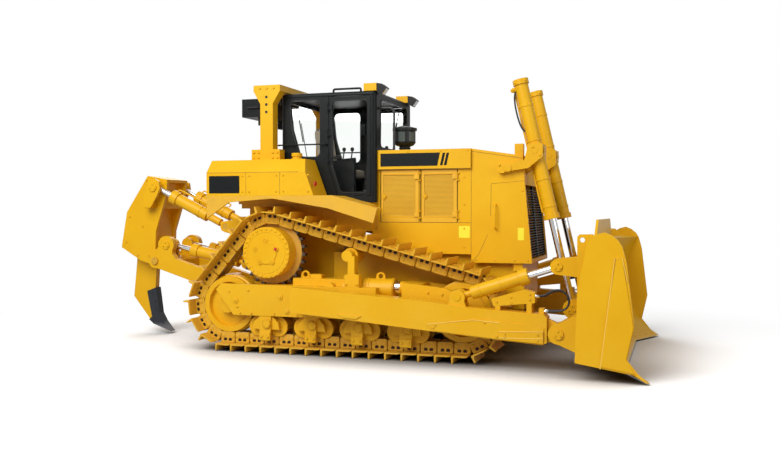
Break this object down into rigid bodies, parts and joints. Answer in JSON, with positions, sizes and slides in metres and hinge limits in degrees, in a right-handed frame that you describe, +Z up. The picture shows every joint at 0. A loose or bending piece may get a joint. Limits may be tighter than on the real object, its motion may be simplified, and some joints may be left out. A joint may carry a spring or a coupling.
{
  "type": "crawler bulldozer",
  "caption": "Large crawler bulldozer with a wide curved blade, elevated drive sprockets, a closed cab under a roll bar and a rear ripper with a single shank.",
  "frame": {"origin": "on the ground under the middle of the machine's overall length and width", "axes": "+X forward towards the blade, +Y to the machine's left, +Z up"},
  "size_m": [7.772, 3.94, 3.549],
  "materials": {
    "hose_rubber": "matt",
    "yellow_paint": "satin, lightly soiled",
    "black_paint": "satin",
    "track_steel": "worn and dusty",
    "worn_steel": "worn",
    "chrome_rod": "polished",
    "window_glass": "clear",
    "black_plastic": "matt",
    "seat_fabric": "woven",
    "pin_steel": "machined"
  },
  "bodies": {
    "tractor": {"main_frame": "yellow_paint", "engine": "black_paint", "side_panels": "yellow_paint", "hood": "yellow_paint", "radiator_guard": "yellow_paint", "radiator_grille": "black_paint", "final_drives": "yellow_paint", "sprockets": "worn_steel", "idlers": "worn_steel", "track_rollers": "worn_steel", "bogies": "yellow_paint", "carrier_rollers": "worn_steel", "track_right": "track_steel", "track_left": "track_steel", "track_frame_right": "yellow_paint", "track_frame_left": "yellow_paint", "platform": "yellow_paint", "tank_right": "yellow_paint", "tank_left": "yellow_paint", "cab_shell": "yellow_paint", "cab_glass": "window_glass", "operator_seat": "seat_fabric", "console": "black_paint", "rops": "yellow_paint", "air_conditioner": "yellow_paint", "precleaner": "black_paint", "grab_rail": "black_paint", "lamps": "black_plastic", "lift_yokes": "yellow_paint"},
    "engine_door_rear_right": {"engine_door_rear_right": "yellow_paint"},
    "engine_door_front_right": {"engine_door_front_right": "yellow_paint"},
    "engine_door_rear_left": {"engine_door_rear_left": "yellow_paint"},
    "engine_door_front_left": {"engine_door_front_left": "yellow_paint"},
    "cab_door_right": {"cab_door_right": "yellow_paint", "door_glass_right": "window_glass"},
    "cab_door_left": {"cab_door_left": "yellow_paint", "door_glass_left": "window_glass"},
    "push_arms": {"push_arm_right": "yellow_paint", "push_arm_left": "yellow_paint", "tilt_hose_outer_right": "hose_rubber", "tilt_hose_inner_right": "hose_rubber", "tilt_hose_outer_left": "hose_rubber", "tilt_hose_inner_left": "hose_rubber"},
    "blade": {"moldboard": "yellow_paint", "blade_brackets": "yellow_paint", "cutting_edge": "worn_steel"},
    "lift_barrels": {"lift_barrels": "yellow_paint"},
    "lift_rods": {"lift_rods": "chrome_rod"},
    "tilt_barrels": {"tilt_barrels": "yellow_paint"},
    "tilt_rods": {"tilt_rods": "chrome_rod"},
    "ripper_frame": {"ripper_frame": "yellow_paint"},
    "carriage_pin": {"carriage_pin": "pin_steel"},
    "ripper_carriage": {"ripper_carriage": "yellow_paint", "ripper_shank": "worn_steel", "ripper_tip": "worn_steel"},
    "ripper_lift_barrels": {"ripper_lift_barrels": "yellow_paint"},
    "ripper_lift_rods": {"ripper_lift_rods": "chrome_rod"},
    "ripper_pitch_pins": {"ripper_pitch_pins": "pin_steel"},
    "ripper_pitch_barrels": {"ripper_pitch_barrels": "yellow_paint"},
    "ripper_pitch_rods": {"ripper_pitch_rods": "chrome_rod"}
  },
  "joints": [
    {"name": "blade_lift", "type": "hinge", "parent": "tractor", "child": "push_arms", "pos_m": [-0.325, 0, 0.745], "axis": [0, -1, 0], "range_deg": [-8, 16.5]},
    {"name": "blade_pitch", "type": "hinge", "parent": "push_arms", "child": "blade", "pos_m": [2.87, 0, 0.455], "axis": [0, 1, 0], "range_deg": [-5, 5]},
    {"name": "lift_barrels_swing", "type": "hinge", "parent": "tractor", "child": "lift_barrels", "pos_m": [2.462, 0, 2.62], "axis": [0, -1, 0], "range_deg": [-3.16, 6.52]},
    {"name": "lift_rods_stroke", "type": "slide", "parent": "lift_barrels", "child": "lift_rods", "axis": [0.2272, 0, -0.9738], "range_m": [-0.9337, 0.4527]},
    {"name": "tilt_barrels_swing", "type": "hinge", "parent": "push_arms", "child": "tilt_barrels", "pos_m": [1.678, 0, 0.839], "axis": [0, 1, 0], "range_deg": [-0.96, 0.96]},
    {"name": "tilt_rods_stroke", "type": "slide", "parent": "tilt_barrels", "child": "tilt_rods", "axis": [0.9506, 0, 0.3104], "range_m": [-0.0655, 0.0655]},
    {"name": "ripper_lift", "type": "hinge", "parent": "tractor", "child": "ripper_frame", "pos_m": [-1.775, 0, 0.72], "axis": [0, 1, 0], "range_deg": [-30, 24]},
    {"name": "carriage_pin_swing", "type": "hinge", "parent": "ripper_frame", "child": "carriage_pin", "pos_m": [-3.215, 0, 1.13], "axis": [0, 1, 0], "range_deg": [-18.49, 23.11]},
    {"name": "ripper_pitch", "type": "hinge", "parent": "carriage_pin", "child": "ripper_carriage", "pos_m": [-3.215, 0, 1.13], "axis": [0, -1, 0], "range_deg": [-8, 8]},
    {"name": "ripper_lift_barrels_swing", "type": "hinge", "parent": "tractor", "child": "ripper_lift_barrels", "pos_m": [-1.75, 0, 1.104], "axis": [0, 1, 0], "range_deg": [-31.3, 25.04]},
    {"name": "ripper_lift_rods_stroke", "type": "slide", "parent": "ripper_lift_barrels", "child": "ripper_lift_rods", "axis": [-0.9799, 0, 0.1996], "range_m": [-0.157, 0.1962]},
    {"name": "ripper_pitch_pins_swing", "type": "hinge", "parent": "tractor", "child": "ripper_pitch_pins", "pos_m": [-2.032, 0, 1.64], "axis": [0, 1, 0], "range_deg": [-35.72, 28.58]},
    {"name": "ripper_pitch_barrels_swing", "type": "hinge", "parent": "ripper_pitch_pins", "child": "ripper_pitch_barrels", "pos_m": [-2.032, 0, 1.64], "axis": [0, -1, 0], "range_deg": [-3.01, 3.01]},
    {"name": "ripper_pitch_rods_stroke", "type": "slide", "parent": "ripper_pitch_barrels", "child": "ripper_pitch_rods", "axis": [-0.9005, 0, 0.4349], "range_m": [-0.1387, 0.1387]},
    {"name": "engine_door_rear_right_swing", "type": "hinge", "parent": "tractor", "child": "engine_door_rear_right", "pos_m": [0.942, -0.697, 0], "axis": [0, 0, 1], "range_deg": [0, 90]},
    {"name": "engine_door_front_right_swing", "type": "hinge", "parent": "tractor", "child": "engine_door_front_right", "pos_m": [1.454, -0.697, 0], "axis": [0, 0, 1], "range_deg": [0, 90]},
    {"name": "cab_door_right_swing", "type": "hinge", "parent": "tractor", "child": "cab_door_right", "pos_m": [-0.278, -0.817, 0], "axis": [0, 0, -1], "range_deg": [0, 75]},
    {"name": "engine_door_rear_left_swing", "type": "hinge", "parent": "tractor", "child": "engine_door_rear_left", "pos_m": [0.942, 0.697, 0], "axis": [0, 0, -1], "range_deg": [0, 90]},
    {"name": "engine_door_front_left_swing", "type": "hinge", "parent": "tractor", "child": "engine_door_front_left", "pos_m": [1.454, 0.697, 0], "axis": [0, 0, -1], "range_deg": [0, 90]},
    {"name": "cab_door_left_swing", "type": "hinge", "parent": "tractor", "child": "cab_door_left", "pos_m": [-0.278, 0.817, 0], "axis": [0, 0, 1], "range_deg": [0, 75]}
  ],
  "couplings": [
    {"joint": "lift_barrels_swing", "follows": "blade_lift", "ratio": 0.3869},
    {"joint": "lift_rods_stroke", "follows": "blade_lift", "m_per_rad": -3.1784},
    {"joint": "tilt_barrels_swing", "follows": "blade_pitch", "ratio": 0.1867},
    {"joint": "tilt_rods_stroke", "follows": "blade_pitch", "m_per_rad": 0.7349},
    {"joint": "carriage_pin_swing", "follows": "ripper_lift", "ratio": -0.7551},
    {"joint": "ripper_lift_barrels_swing", "follows": "ripper_lift", "ratio": 1.0228},
    {"joint": "ripper_lift_rods_stroke", "follows": "ripper_lift", "m_per_rad": -0.3673},
    {"joint": "ripper_pitch_pins_swing", "follows": "ripper_lift", "ratio": 1.1673},
    {"joint": "ripper_pitch_barrels_swing", "follows": "ripper_pitch", "ratio": 0.3685},
    {"joint": "ripper_pitch_rods_stroke", "follows": "ripper_pitch", "m_per_rad": 0.9736}
  ]
}
